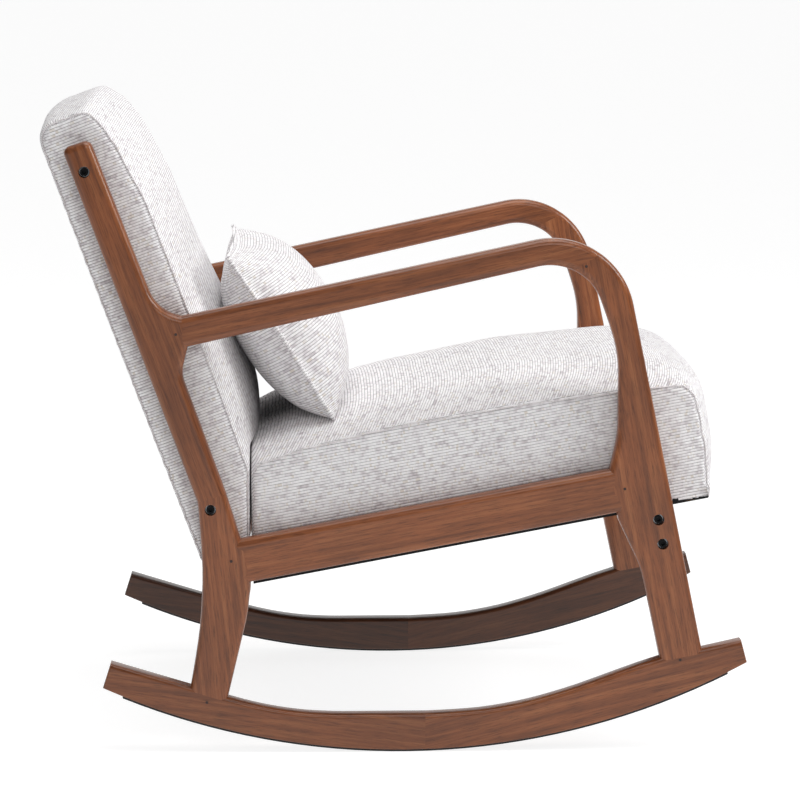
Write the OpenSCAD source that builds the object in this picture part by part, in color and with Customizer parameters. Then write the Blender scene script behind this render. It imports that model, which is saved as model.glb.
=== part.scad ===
// Rocking chair with a bent hardwood side frame on each side, an upholstered seat and back
// that bolt between the frames, and a loose lumbar pillow.
// The frame is X across the chair, -Y towards the sitter's knees and +Z up. The origin is on
// the floor, midway between the two lines where the rockers touch it.
// Side outlines are lists of [forward, up, corner radius].

/* [Overall] */
// Width over the two side frames
overall_w = 660; // [560:1:800]
// Thickness of the side frame boards
board_t = 28; // [24:1:34]
// Radius of the underside of the rockers
rocker_r = 937.5; // [900:0.5:1125]

/* [Rockers] */
// Distance from the centre of the arc back to the tail of the rocker
tail_f = 389; // [360:1:420]
// Distance from the centre of the arc forward to the nose of the rocker
nose_f = 443; // [420:1:480]
// Depth of the rocker at its middle, strip included
rocker_depth = 50; // [44:1:60]
// Thickness of the anti-slip strip under the rocker
strip_t = 3; // [2:0.5:5]
// Forward position of the joint between the two rocker halves
rocker_joint_f = 28; // [-40:1:80]

/* [Legs] */
// Height of the splice between the rear leg and the back post, at its rear edge
splice_h = 327; // [315:1:335]
// Lean of the back posts from upright, in degrees
post_lean = 20.3; // [18:0.1:22]
// Height of the top of the back posts at their rear edge
post_h = 778; // [720:1:900]
// Lean of the front legs from upright, in degrees
front_lean = 11.6; // [10:0.1:13]
// Forward position of the outer edge of the front leg at its foot
front_foot_f = 384.5; // [375:0.5:390]
// Width of the front leg above its foot
front_foot_w = 54; // [46:1:58]

/* [Seat rail and arm] */
// Height of the top of the side rail where it leaves the rear leg
rail_h = 280; // [262:1:300]
// Rise of the side rail per millimetre forward
rail_rise = 0.186; // [0.16:0.001:0.2]
// Upright depth of the side rail
rail_depth = 57.5; // [48:0.5:64]
// Height of the top of the arm where it leaves the back post
arm_h = 565; // [540:1:600]
// Rise of the arm per millimetre forward
arm_rise = 0.2127; // [0.19:0.001:0.23]
// Upright thickness of the arm at the back
arm_t = 40; // [34:1:46]
// Outside radius of the bend at the front of the arm
bend_r = 106; // [90:1:120]

/* [Seat] */
// Length of the seat along its slope
seat_len = 622; // [590:1:650]
// Thickness of the seat at its seams
seat_t = 154; // [130:1:170]
// Crown of the seat above its seams
seat_crown = 18; // [8:1:26]
// Drop of the underside of the seat below the side rail
seat_drop = 8; // [4:1:14]
// Forward position of the upright face where the seat meets the back
seat_back_f = -195; // [-200:1:-185]
// Gap between the upholstery and each side frame
side_gap = 1; // [0.5:0.5:4]

/* [Back] */
// Length of the back along its lean
back_len = 612; // [540:1:700]
// Thickness of the back at its seams
back_t = 100; // [90:1:120]
// Crown of the back in front of its seams
back_crown = 20; // [10:1:30]
// Lean of the back from upright, in degrees
back_lean = 20.4; // [18:0.1:22]

/* [Upholstery] */
// Thickness of the fabric covers
fabric_t = 1.5; // [1:0.1:2.5]
// Foam and wadding between the wooden inner frames and the cover at the sides
wadding_t = 2; // [1:0.5:5]
// Upright depth of the seat frame rails
seat_rail_h = 45; // [38:1:52]
// Upright depth of the board that holds the front edge of the seat
nose_rail_h = 92; // [60:1:100]
// Thickness of the inner frame rails
inner_t = 24; // [20:1:30]
// Depth of the back frame, front to rear
back_frame_t = 60; // [50:1:62]
// Gap between the rear cloth and the back frame
back_pad_t = 12; // [6:1:16]
// Width of the elastic webbing
web_w = 50; // [40:1:60]
// Thickness of one layer of webbing
web_t = 1.2; // [0.8:0.1:2]

/* [Pillow] */
// Length of the lumbar pillow across the chair
pillow_w = 500; // [420:1:560]
// Height of the pillow between its seams
pillow_h = 270; // [220:1:275]
// Swell of the pillow in front of its seam
pillow_front = 80; // [50:1:84]
// Swell of the pillow behind its seam
pillow_rear = 62; // [40:1:64]
// Lean of the pillow from upright, in degrees
pillow_lean = 31.9; // [29:0.1:36]

/* [Fasteners] */
// Thread diameter of the frame bolts
bolt_d = 6; // [5:1:8]
// Diameter of the bolt heads
bolt_head_d = 10.5; // [9:0.5:13]
// Height of the bolt heads
bolt_head_h = 6; // [5:0.5:8]
// Diameter of the counterbores
counterbore_d = 14.5; // [13:0.5:16]
// Depth of the counterbores
counterbore_l = 10; // [8:0.5:12]
// Diameter of the barrel nuts
nut_d = 9; // [8:0.5:10]
// Diameter of the frame dowels
dowel_d = 10; // [8:1:12]
// Length of the frame dowels
dowel_l = 40; // [30:1:50]
// Clearance round dowels, bolts and nuts
fit_gap = 0.1; // [0.05:0.05:0.3]

/* [Hidden] */
$fn = 48;
arc_fn = 256;
eps = 1;
side_x = overall_w/2;
inner_x = side_x - board_t;
mid_x = side_x - board_t/2;
cover_x = inner_x - side_gap;
foam_x = cover_x - fabric_t;
frame_x = foam_x - wadding_t;
wood_r = rocker_r - strip_t;

// ---- outline helpers ----

function unit(v) = v/norm(v);
// Points of the arc of radius r that rounds corner b between a and c.
function arc(a, b, c, r) =
  let (u = unit(a - b), w = unit(c - b), half = acos(u*w)/2, reach = r/tan(half),
       s = b + u*reach, e = b + w*reach, m = b + unit(u + w)*r/sin(half),
       a0 = atan2(s[1] - m[1], s[0] - m[0]), a1 = atan2(e[1] - m[1], e[0] - m[0]),
       turn = a1 - a0 > 180 ? a1 - a0 - 360 : a1 - a0 < -180 ? a1 - a0 + 360 : a1 - a0,
       n = max(2, ceil(abs(turn)/7)))
  [for (i = [0:n]) m + r*[cos(a0 + turn*i/n), sin(a0 + turn*i/n)]];
// The corner b with a radius whose arc takes up no more than a share of the shorter side next to it.
function fitted(a, b, c, share) =
  let (half = acos(unit(a - b)*unit(c - b))/2)
  concat(b, [share*min(norm(a - b), norm(c - b))*tan(half)]);
// Outline with every corner that has a radius rounded.
function round_outline(p) =
  let (n = len(p), flat = [for (q = p) [q[0], q[1]]])
  [for (i = [0:n - 1])
    each (len(p[i]) > 2
      ? arc(flat[(i + n - 1)%n], flat[i], flat[(i + 1)%n], p[i][2])
      : [flat[i]])];
// Prism of a side outline from x0 to x1.
module side(points, x0, x1)
  translate([x1, 0, 0]) rotate([90, 0, -90]) linear_extrude(x1 - x0) polygon(round_outline(points));
// Point at p = [along, out] in a plane that starts at o and rises forward by angle a.
function place(o, a, p) =
  [o[0] + p[0]*cos(a) - p[1]*sin(a), o[1] + p[0]*sin(a) + p[1]*cos(a)];
// The same move for solids: local -Y is along the plane and +Z is out of it.
module tilt(o, a) translate([0, -o[0], o[1]]) rotate([-a, 0, 0]) children();
// Box from x0 to x1, u0 to u1 along and w0 to w1 out, in a tilted plane.
module slab(x0, x1, u0, u1, w0, w1)
  translate([x0, -u1, w0]) cube([x1 - x0, u1 - u0, w1 - w0]);
module left_side() mirror([1, 0, 0]) children();

// ---- lines of the side frame ----

function underside(f) = rocker_r - sqrt(wood_r*wood_r - f*f);
tail_slope = -0.303;
nose_slope = 0.2126;
tail_top = [-tail_f + 13, underside(-tail_f) + 30.2];
nose_top = [nose_f - 7.5, underside(nose_f) + 28.3];
function tail_line(f) = tail_top[1] + tail_slope*(f - tail_top[0]);
function nose_line(f) = nose_top[1] + nose_slope*(f - nose_top[0]);
function rail_top(f) = rail_h + rail_rise*(f + 198.3);
function rail_bottom(f) = rail_top(f) - rail_depth;
function arm_top(f) = arm_h + arm_rise*(f + 281.6);
function arm_bottom(f) = arm_top(f) - arm_t + 0.0092*(f + 281.6);
function front_outer(z) = front_foot_f - (z - nose_line(front_foot_f))*tan(front_lean);
function post_rear(z) = -263.5 - (z - splice_h)*tan(post_lean);

// Joints of the side frame, each from one end of the glue line to the other.
rear_foot_a = [-274, tail_line(-274)];
rear_foot_b = [-226, tail_line(-226)];
front_foot_a = [front_foot_f, nose_line(front_foot_f)];
front_foot_b = [front_foot_f - front_foot_w, nose_line(front_foot_f - front_foot_w)];
splice_a = [post_rear(splice_h), splice_h];
splice_b = [post_rear(splice_h) + 36.5, splice_h + 11];
rear_rail_a = [-208.5, rail_top(-208.5)];
rear_rail_b = [-196, rail_bottom(-196)];
front_rail_a = [264, rail_top(264)];
front_rail_b = [274, rail_bottom(274)];
arm_joint_a = [-281.6, arm_top(-281.6)];
arm_joint_b = [-274, arm_bottom(-274)];
mid_joint_a = [rocker_joint_f, rocker_depth - 0.45];
mid_joint_b = [rocker_joint_f, underside(rocker_joint_f)];
// The corner where the straight lines of the arm and the front leg would cross.
bend_z = (arm_top(front_foot_f) + arm_rise*tan(front_lean)*nose_line(front_foot_f))
         /(1 + arm_rise*tan(front_lean));
bend_corner = [front_outer(bend_z), bend_z];
mitre_a = bend_corner + [-24.5, -37.5];
mitre_b = bend_corner + [-55.5, -64];

// ---- lines of the soft parts ----

seat_a = atan(rail_rise);
seat_o = [seat_back_f, rail_bottom(seat_back_f) - seat_drop];
back_a = back_lean;
// The back's lower rear corner, behind and above the seat's.
back_o = [seat_back_f - 63, seat_o[1] + 22];
meet_gap = 63 - 2;
function seat_pt(u, w) = place(seat_o, seat_a, [u, w]);
function back_pt(t, v) = place(back_o, back_a, [t, v]);
// Where the upright meeting face crosses a height w out of the seat plane.
function seat_rear(w) = w*tan(seat_a);
// Side outline of the seat, d inside its outer face, with its end faces run on down by drop.
seat_tuck = 20;
function seat_outline(d, drop = 0) = [
  seat_pt(d - drop*seat_rear(seat_t)/(seat_t - 2 - d), -drop),
  seat_pt(seat_len - seat_tuck*(1 + drop/(seat_t*0.5)) - d, -drop),
  concat(seat_pt(seat_len - d, seat_t*0.5), [120]),
  concat(seat_pt(seat_len - 10 - d, seat_t + 4 - d), [26]),
  concat(seat_pt(seat_len*0.42, seat_t + seat_crown - d), [900]),
  concat(seat_pt(seat_rear(seat_t) + d, seat_t - 2 - d), [8])];
// Side outline of the back, d inside its outer face.
function back_front(v) = (meet_gap + v*sin(back_a))/cos(back_a);
function back_outline(d) = [
  concat(back_pt(d, d), [4]),
  concat(back_pt(back_front(0) - d, d), [6]),
  concat(back_pt(back_front(120) - d, 120), [30]),
  concat(back_pt(back_t + back_crown - d, back_len*0.7), [900]),
  concat(back_pt(back_t - 4 - d, back_len - d), [42]),
  concat(back_pt(12 + d, back_len - 4 - d), [12]),
  concat(back_pt(d, back_len - 22), [20])];

// ---- rockers ----

module wood_arc() translate([-side_x - eps, 0, rocker_r]) rotate([0, 90, 0])
  cylinder(h = overall_w + 2*eps, r = wood_r, $fn = arc_fn);
module strip_arc() translate([-side_x - eps, 0, rocker_r]) rotate([0, 90, 0])
  cylinder(h = overall_w + 2*eps, r = rocker_r, $fn = arc_fn);
joint_dip = 0.4;
belly_share = 0.34;
belly_rear = fitted(tail_top, [tail_top[0] + (mid_joint_a[1] - tail_top[1])/tail_slope, mid_joint_a[1]],
                    mid_joint_a, 0.4);
belly_front = fitted(mid_joint_a, [mid_joint_a[0] + belly_share*(front_foot_b[0] - mid_joint_a[0]),
                                   mid_joint_a[1] + joint_dip], front_foot_b, 0.97);
under_cut = -5;
end_drop = 4;
module rocker_rear() color("saddlebrown") difference() {
  intersection() {
    side([tail_top, belly_rear, mid_joint_a, [rocker_joint_f, under_cut],
          [-tail_f*0.5, under_cut], [-tail_f + 2, underside(-tail_f) - end_drop]], -side_x, -inner_x);
    wood_arc();
  }
  dowel_holes();
}
module rocker_front() color("saddlebrown") difference() {
  intersection() {
    side([mid_joint_a, belly_front, front_foot_b, nose_top,
          [nose_f + 1, underside(nose_f) - end_drop], [nose_f*0.5, under_cut],
          [rocker_joint_f, under_cut]],
         -side_x, -inner_x);
    wood_arc();
  }
  dowel_holes();
}
strip_inset = 4;
module rocker_strip() color("dimgray") intersection() {
  difference() {
    strip_arc();
    wood_arc();
  }
  side([[-tail_f + 31, under_cut], [-tail_f + 26, 120], [nose_f - 26, 140], [nose_f - 20, under_cut]],
       -side_x + strip_inset, -inner_x - strip_inset);
}

// ---- side frame members ----

leg_bend_share = 0.48;
rear_leg_bend = [-249.3, rear_foot_a[1] + leg_bend_share*(splice_a[1] - rear_foot_a[1])];
rail_fillet = 38;
module rear_leg() color("sienna") difference() {
  side([rear_foot_a, fitted(rear_foot_a, rear_leg_bend, splice_a, 0.97), splice_a, splice_b, rear_rail_a,
        rear_rail_b, [-199, rear_rail_b[1] - rail_fillet, 250], rear_foot_b], -side_x, -inner_x);
  dowel_holes();
  bolt_holes();
}
module back_post() color("sienna") difference() {
  side([splice_a, concat([post_rear(post_h), post_h], [9]),
        concat([post_rear(post_h) + 35, post_h + 11], [9]),
        [arm_joint_a[0] - 31, arm_joint_a[1] + 6.8, 52], arm_joint_a, arm_joint_b,
        [post_rear(arm_h - 73) + 42, arm_h - 73, 40], splice_b], -side_x, -inner_x);
  dowel_holes();
  bolt_holes();
}
module side_rail() color("peru") difference() {
  side([rear_rail_a, front_rail_a, front_rail_b, rear_rail_b], -side_x, -inner_x);
  dowel_holes();
  side_screws(fit_gap);
}
leg_inner_f = 274.5;
leg_span = bend_corner[1] - front_rail_a[1];
// The arm and the front leg as one bow, before the mitre parts them.
module bow() side([
  arm_joint_a, concat(bend_corner, [bend_r]), front_foot_a, front_foot_b,
  [front_rail_b[0] + 32, front_rail_b[1] - 74, 150], [front_rail_b[0] + 2, front_rail_b[1] - 10],
  front_rail_b, front_rail_a, [leg_inner_f, front_rail_a[1] + 0.144*leg_span, 0.42*leg_span],
  [leg_inner_f, front_rail_a[1] + 0.482*leg_span, 0.57*leg_span],
  [bend_corner[0] - arm_t, arm_bottom(bend_corner[0] - arm_t) + 2, 70], arm_joint_b], -side_x, -inner_x);
// Everything on the leg's side of the mitre.
mitre_run = unit(mitre_a - mitre_b);
module past_mitre() side([
  mitre_b - mitre_run*60, mitre_a + mitre_run*60, [front_foot_f + 200, mitre_a[1]],
  [front_foot_f + 200, 0], [mitre_b[0] - 60, 0]], -side_x - eps, -inner_x + eps);
module arm() color("peru") difference() {
  bow();
  past_mitre();
  dowel_holes();
}
module front_leg() color("sienna") difference() {
  intersection() {
    bow();
    past_mitre();
  }
  dowel_holes();
  bolt_holes();
}

// ---- glue joints ----

// A row of dowels across the joint from a to b: [centre, direction].
function dowel_row(a, b, shares) =
  let (d = unit(b - a)) [for (s = shares) [a + (b - a)*s, [d[1], -d[0]]]];
DOWELS = concat(
  dowel_row(rear_foot_a, rear_foot_b, [0.3, 0.72]), dowel_row(front_foot_b, front_foot_a, [0.28, 0.72]),
  dowel_row(splice_a, splice_b, [0.78]), dowel_row(rear_rail_a, rear_rail_b, [0.28, 0.74]),
  dowel_row(front_rail_a, front_rail_b, [0.26, 0.72]), dowel_row(arm_joint_a, arm_joint_b, [0.5]),
  dowel_row(mitre_a, mitre_b, [0.5]), dowel_row(mid_joint_a, mid_joint_b, [0.3, 0.7]));
module dowels(gap) for (d = DOWELS)
  translate([-mid_x, -d[0][0], d[0][1]]) rotate([-atan2(d[1][1], d[1][0]), 0, 0]) rotate([90, 0, 0])
    cylinder(h = dowel_l + 4*gap, d = dowel_d + 2*gap, center = true);
module dowel_holes() {
  dowels(fit_gap);
  brads(fit_gap/2);
}
module frame_dowels() color("burlywood") difference() {
  dowels(0);
  brads(fit_gap/2);
}
// Brads through the outer face pin the glued joints.
brad_d = 1.8;
brad_l = 20;
BRADS = [arm_joint_a + [-9, -23], rear_rail_a + [-13, -30], front_rail_a + [19, -25],
         mitre_b + [14, 9], front_foot_b + [25, -7], rear_foot_a + [20, -16]];
module brads(gap) for (b = BRADS)
  translate([-side_x + 0.5 - gap, -b[0], b[1]]) rotate([0, 90, 0])
    cylinder(h = brad_l + gap, d = brad_d + 2*gap, $fn = 24);
module frame_brads() color("black") brads(0);

// ---- bolts between the side frames and what they hold ----

// The stretcher hangs under the seat, its middle a fixed way behind the outer edge of the front legs.
stretcher_in = 23.1;
stretcher_w = 26;
stretcher_h = 53;
stretcher_u = (front_foot_f - stretcher_in - seat_o[0] - stretcher_h/2*sin(seat_a)
  - (seat_o[1] - stretcher_h/2*cos(seat_a) - front_foot_a[1])*tan(front_lean))
  /(cos(seat_a) + sin(seat_a)*tan(front_lean));
stretcher_mid = seat_pt(stretcher_u, -stretcher_h/2);
STRETCHER_BOLTS = [for (w = [-16, 16]) place(stretcher_mid, seat_a, [0, w])];
// Each pair of back bolts lies on the middle line of the posts.
lower_bolt = [38.5, 71];
upper_bolt = [43, back_len - 82];
BACK_BOLTS = [back_pt(lower_bolt[0], lower_bolt[1]), back_pt(upper_bolt[0], upper_bolt[1])];
ALL_BOLTS = concat(STRETCHER_BOLTS, BACK_BOLTS);
bolt_reach = 23;
washer_t = 1.2;
washer_d = 13;
seat_x = side_x - counterbore_l;
bolt_tip = inner_x - side_gap - bolt_reach;
module along_x(p, x0, x1, d) translate([-x1, -p[0], p[1]]) rotate([0, 90, 0])
  cylinder(h = x1 - x0, d = d);
module bolt_holes() for (p = ALL_BOLTS) {
  along_x(p, seat_x, side_x + eps, counterbore_d);
  along_x(p, bolt_tip - 2*fit_gap, side_x, bolt_d + 2*fit_gap);
}
module bolt(p) difference() {
  union() {
    along_x(p, bolt_tip, seat_x, bolt_d);
    along_x(p, seat_x - eps, seat_x + washer_t, bolt_d);
    along_x(p, seat_x + washer_t, seat_x + washer_t + bolt_head_h, bolt_head_d);
  }
  translate([-(seat_x + washer_t + bolt_head_h + eps), -p[0], p[1]]) rotate([0, 90, 0])
    cylinder(h = 4.5 + eps, d = 5.8, $fn = 6);
}
module both_sides() {
  children();
  left_side() children();
}
module stretcher_bolts() color("black") both_sides() for (p = STRETCHER_BOLTS) bolt(p);
module back_bolts() color("black") both_sides() for (p = BACK_BOLTS) bolt(p);
module bolt_washers() color("dimgray") both_sides() for (p = ALL_BOLTS) difference() {
  along_x(p, seat_x, seat_x + washer_t, washer_d);
  along_x(p, seat_x - eps, seat_x + washer_t + eps, bolt_d + 2*fit_gap);
}
nut_l = 16;
nut_x = bolt_tip + 7;
// A barrel nut, or its blind hole, that lies forward-and-back in a tilted member.
module nut_at(p, a, gap, back) tilt(p, a) translate([-nut_x, nut_l/2 + back, 0]) rotate([90, 0, 0])
  cylinder(h = nut_l + back + 2*gap, d = nut_d + 2*gap);
module stretcher_nut_holes() for (p = STRETCHER_BOLTS) nut_at(p, seat_a, fit_gap, 20);
module back_nut_holes() for (p = BACK_BOLTS) nut_at(p, back_a, fit_gap, 60);
module barrel_nuts() color("silver") both_sides() difference() {
  union() {
    for (p = STRETCHER_BOLTS) nut_at(p, seat_a, 0, 0);
    for (p = BACK_BOLTS) nut_at(p, back_a, 0, 0);
  }
  for (p = ALL_BOLTS) along_x(p, bolt_tip - eps - 2, side_x, bolt_d + 2*fit_gap);
}

// ---- front stretcher and seat ----

screw_d = 5;
screw_l = 60;
module seat_screw(x, gap) tilt(stretcher_mid, seat_a) translate([x, 0, -stretcher_h/2]) {
  cylinder(h = screw_l + gap, d = screw_d + 2*gap);
  cylinder(h = 3.5 + gap, d = 10 + 2*gap);
}
screw_xs = [-220, 0, 220];
module front_stretcher() color("sienna") difference() {
  tilt(stretcher_mid, seat_a)
    slab(-inner_x, inner_x, -stretcher_w/2, stretcher_w/2, -stretcher_h/2, stretcher_h/2);
  both_sides() {
    bolt_holes();
    stretcher_nut_holes();
  }
  for (x = screw_xs) seat_screw(x, fit_gap);
}
module seat_screws() color("silver") for (x = screw_xs) seat_screw(x, 0);

dust_t = 1;
seat_u0 = 12;
seat_u1 = seat_len - 28;
seat_top_w = dust_t + seat_rail_h;
front_rail_u = stretcher_u - inner_t/2;
module seat_part() tilt(seat_o, seat_a) children();
module seat_front_rail() color("tan") difference() {
  seat_part() slab(-frame_x + inner_t, frame_x - inner_t, front_rail_u, front_rail_u + inner_t,
                   dust_t, seat_top_w);
  for (x = screw_xs) seat_screw(x, fit_gap);
}
module seat_nose_rail() color("tan") seat_part()
  slab(-frame_x + inner_t, frame_x - inner_t, seat_u1 - inner_t, seat_u1, dust_t, dust_t + nose_rail_h);
module seat_rear_rail() color("tan")
  seat_part() slab(-frame_x + inner_t, frame_x - inner_t, seat_u0, seat_u0 + inner_t, dust_t, seat_top_w);
module seat_side_rail() color("tan") difference() {
  seat_part() slab(-frame_x, -frame_x + inner_t, seat_u0, seat_u1, dust_t, seat_top_w);
  side_screws(fit_gap);
}
block_leg = 60;
block_h = 30;
module corner_block(u, flip) seat_part() translate([-frame_x + inner_t, -u, dust_t + 6])
  mirror([0, flip, 0]) linear_extrude(block_h) polygon([[0, 0], [block_leg, 0], [0, block_leg]]);
module seat_corner_blocks() color("burlywood") both_sides() {
  corner_block(seat_u0 + inner_t, 1);
  corner_block(front_rail_u, 0);
}
cross_count = 5;
long_count = 5;
module seat_cross_webbing() color("dimgray") seat_part() for (i = [0:cross_count - 1]) {
  u = seat_u0 + inner_t + 24 + i*(front_rail_u - seat_u0 - inner_t - 48 - web_w)/(cross_count - 1);
  slab(-frame_x, frame_x, u, u + web_w, seat_top_w, seat_top_w + web_t);
}
module seat_long_webbing() color("gray") seat_part() for (i = [0:long_count - 1]) {
  x = -frame_x + inner_t + 30 + i*(2*frame_x - 2*inner_t - 60 - web_w)/(long_count - 1);
  slab(x, x + web_w, seat_u0, seat_u1 - inner_t, seat_top_w + web_t, seat_top_w + 2*web_t);
}
module seat_foam() color("ivory") difference() {
  side(seat_outline(fabric_t), -foam_x, foam_x);
  seat_part() slab(-frame_x, frame_x, -60, seat_u1, -60, seat_top_w + 2*web_t);
  seat_part() slab(-frame_x, frame_x, -60, seat_len, -60, dust_t);
  seat_part() slab(-frame_x + inner_t, frame_x - inner_t, seat_u1 - inner_t, seat_u1,
                   0, dust_t + nose_rail_h);
  both_sides() side_screws(fit_gap);
}
module seat_cover() color("whitesmoke") difference() {
  side(seat_outline(0), -cover_x, cover_x);
  side(seat_outline(fabric_t, 20), -foam_x, foam_x);
  both_sides() side_screws(fit_gap);
}
module seat_dust_cover() color("black") difference() {
  seat_part() slab(-frame_x, frame_x, fabric_t + eps, seat_len - seat_tuck - fabric_t - eps, 0, dust_t);
  for (x = screw_xs) seat_screw(x, fit_gap);
}

// ---- back ----

module back_part() tilt(back_o, back_a) children();
stile_w = 22;
back_face_t = back_pad_t + back_frame_t;
// The frame starts where the back is thick enough to hold it.
back_v0 = ((back_face_t + 4)*cos(back_a) - meet_gap)/sin(back_a);
back_v1 = back_len - 26;
back_foot_h = 30;
module back_stile() color("tan") difference() {
  back_part() slab(-frame_x, -frame_x + stile_w, back_pad_t, back_face_t, back_v0, back_v1);
  bolt_holes();
  back_nut_holes();
}
module back_top_rail() color("tan") back_part()
  slab(-frame_x + stile_w, frame_x - stile_w, back_face_t - back_foot_h, back_face_t,
       back_v1 - inner_t, back_v1);
module back_bottom_rail() color("tan") back_part()
  slab(-frame_x + stile_w, frame_x - stile_w, back_pad_t, back_face_t, back_v0, back_v0 + back_foot_h);
back_web_count = 6;
module back_webbing() color("dimgray") back_part() for (i = [0:back_web_count - 1]) {
  v = back_v0 + 50 + i*(back_v1 - back_v0 - 100 - web_w)/(back_web_count - 1);
  slab(-frame_x, frame_x, back_face_t, back_face_t + web_t, v, v + web_w);
}
module back_foam() color("ivory") difference() {
  side(back_outline(fabric_t), -foam_x, foam_x);
  back_part() slab(-frame_x, frame_x, fabric_t - eps, back_face_t + web_t, back_v0, back_v1);
  both_sides() bolt_holes();
}
module back_cover() color("whitesmoke") difference() {
  side(back_outline(0), -cover_x, cover_x);
  side(back_outline(fabric_t), -foam_x, foam_x);
  both_sides() bolt_holes();
}
// Wood screws from inside the seat frame hold it to the side rails.
side_screw_us = [90, 270, 450];
side_screw_w = seat_drop + rail_depth*0.45;
side_screw_bite = 20;
screw_head_d = 10;
module side_screws(gap) for (u = side_screw_us) {
  head_x = frame_x - inner_t - gap;
  along_x(seat_pt(u, side_screw_w), head_x, inner_x + side_screw_bite + gap, screw_d + 2*gap);
  along_x(seat_pt(u, side_screw_w), head_x, head_x + 3 + 2*gap, screw_head_d + 2*gap);
}
module seat_side_screws() color("silver") both_sides() side_screws(0);

// ---- lumbar pillow ----

// Its middle lies this far in front of the back's rear plane, and this far over the plane's foot
// measured up from the slope of the seat.
pillow_out = 198.8;
pillow_rise = 268.4;
pillow_f = back_o[0] + pillow_out*cos(back_a) - (pillow_rise - 34.4)*sin(back_a);
pillow_o = [pillow_f, back_o[1] + pillow_rise + (pillow_f - back_o[0])*rail_rise];
pillow_end = 0.16;
pillow_steps = 6;
// How far the pillow swells at a share s of its half height, from 0 at the middle to 1.
function swell(s) = (1 - s*s)*(1 - 0.12*s*s);
module pillow_lens(front, rear, h) linear_extrude(1) polygon(concat(
  [for (i = [-pillow_steps:pillow_steps]) [h/2*i/pillow_steps, front*swell(i/pillow_steps)]],
  [for (i = [pillow_steps - 1:-1:1 - pillow_steps]) [h/2*i/pillow_steps, -rear*swell(i/pillow_steps)]]));
module pillow_slice(share, out, h, d) translate([0, 0, out])
  pillow_lens((pillow_front - d)*share, (pillow_rear - d)*share, h);
module pillow_body(d) tilt(pillow_o, pillow_lean) rotate([0, -90, 0])
  for (m = [0, 1]) mirror([0, 0, m]) hull() {
    pillow_slice(1, -0.5, pillow_h - 4*d, d);
    pillow_slice(0.88, pillow_w*0.3, pillow_h - 4*d, d);
    pillow_slice(pillow_end, pillow_w/2 - 1 - 2*d, pillow_h - 6*d, d);
  }
module pillow_fill() color("ivory") pillow_body(fabric_t);
module pillow_cover() color("whitesmoke") difference() {
  pillow_body(0);
  pillow_body(fabric_t);
}

// ---- nodes ----

rocker_front();  // right_rocker_front
left_side() rocker_front();  // left_rocker_front
rocker_rear();  // right_rocker_rear
left_side() rocker_rear();  // left_rocker_rear
rocker_strip();  // right_rocker_strip
left_side() rocker_strip();  // left_rocker_strip
rear_leg();  // right_rear_leg
left_side() rear_leg();  // left_rear_leg
back_post();  // right_back_post
left_side() back_post();  // left_back_post
side_rail();  // right_side_rail
left_side() side_rail();  // left_side_rail
arm();  // right_arm
left_side() arm();  // left_arm
front_leg();  // right_front_leg
left_side() front_leg();  // left_front_leg
frame_dowels();  // right_frame_dowels
left_side() frame_dowels();  // left_frame_dowels
frame_brads();  // right_frame_brads
left_side() frame_brads();  // left_frame_brads
front_stretcher();
seat_front_rail();
seat_nose_rail();
seat_rear_rail();
seat_side_rail();  // seat_right_rail
left_side() seat_side_rail();  // seat_left_rail
seat_corner_blocks();
seat_cross_webbing();
seat_long_webbing();
seat_foam();
seat_cover();
seat_dust_cover();
back_stile();  // back_right_stile
left_side() back_stile();  // back_left_stile
back_top_rail();
back_bottom_rail();
back_webbing();
back_foam();
back_cover();
pillow_fill();
pillow_cover();
stretcher_bolts();
back_bolts();
bolt_washers();
barrel_nuts();
seat_screws();
seat_side_screws();
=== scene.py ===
import math

import bmesh
import bpy
from mathutils import Matrix, Vector, noise
from mathutils.bvhtree import BVHTree
from mathutils.kdtree import KDTree


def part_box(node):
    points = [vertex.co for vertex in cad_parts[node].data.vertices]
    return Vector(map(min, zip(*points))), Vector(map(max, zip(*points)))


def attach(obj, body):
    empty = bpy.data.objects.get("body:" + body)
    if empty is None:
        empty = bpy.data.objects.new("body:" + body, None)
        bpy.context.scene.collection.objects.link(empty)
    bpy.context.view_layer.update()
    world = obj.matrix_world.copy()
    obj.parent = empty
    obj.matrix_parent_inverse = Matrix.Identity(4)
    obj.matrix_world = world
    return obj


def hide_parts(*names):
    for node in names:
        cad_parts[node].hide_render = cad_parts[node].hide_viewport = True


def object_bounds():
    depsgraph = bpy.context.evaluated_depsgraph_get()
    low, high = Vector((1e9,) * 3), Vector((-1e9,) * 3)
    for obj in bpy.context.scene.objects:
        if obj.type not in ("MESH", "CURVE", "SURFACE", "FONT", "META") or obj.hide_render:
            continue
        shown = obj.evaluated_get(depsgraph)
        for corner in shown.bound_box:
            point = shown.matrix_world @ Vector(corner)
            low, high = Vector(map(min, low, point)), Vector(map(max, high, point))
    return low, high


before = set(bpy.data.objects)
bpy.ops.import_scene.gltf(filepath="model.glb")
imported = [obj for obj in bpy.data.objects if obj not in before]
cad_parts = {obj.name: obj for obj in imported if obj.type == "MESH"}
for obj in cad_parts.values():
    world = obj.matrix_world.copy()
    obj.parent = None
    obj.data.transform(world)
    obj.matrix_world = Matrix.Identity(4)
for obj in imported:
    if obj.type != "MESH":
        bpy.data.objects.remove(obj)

cad_box = [list(corner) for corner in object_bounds()]

# ---- Studio ----
# A pale seamless sweep: a level floor that curves up into a wall far behind the chair.
# Big soft boxes light it from above and from the camera's side, as a catalogue studio does.


def linear(hex_colour):
    """An sRGB hex colour as linear red, green, blue and alpha."""
    parts = [int(hex_colour[i:i + 2], 16) / 255 for i in (1, 3, 5)]
    return [c / 12.92 if c <= 0.04045 else ((c + 0.055) / 1.055) ** 2.4 for c in parts] + [1.0]


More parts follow.
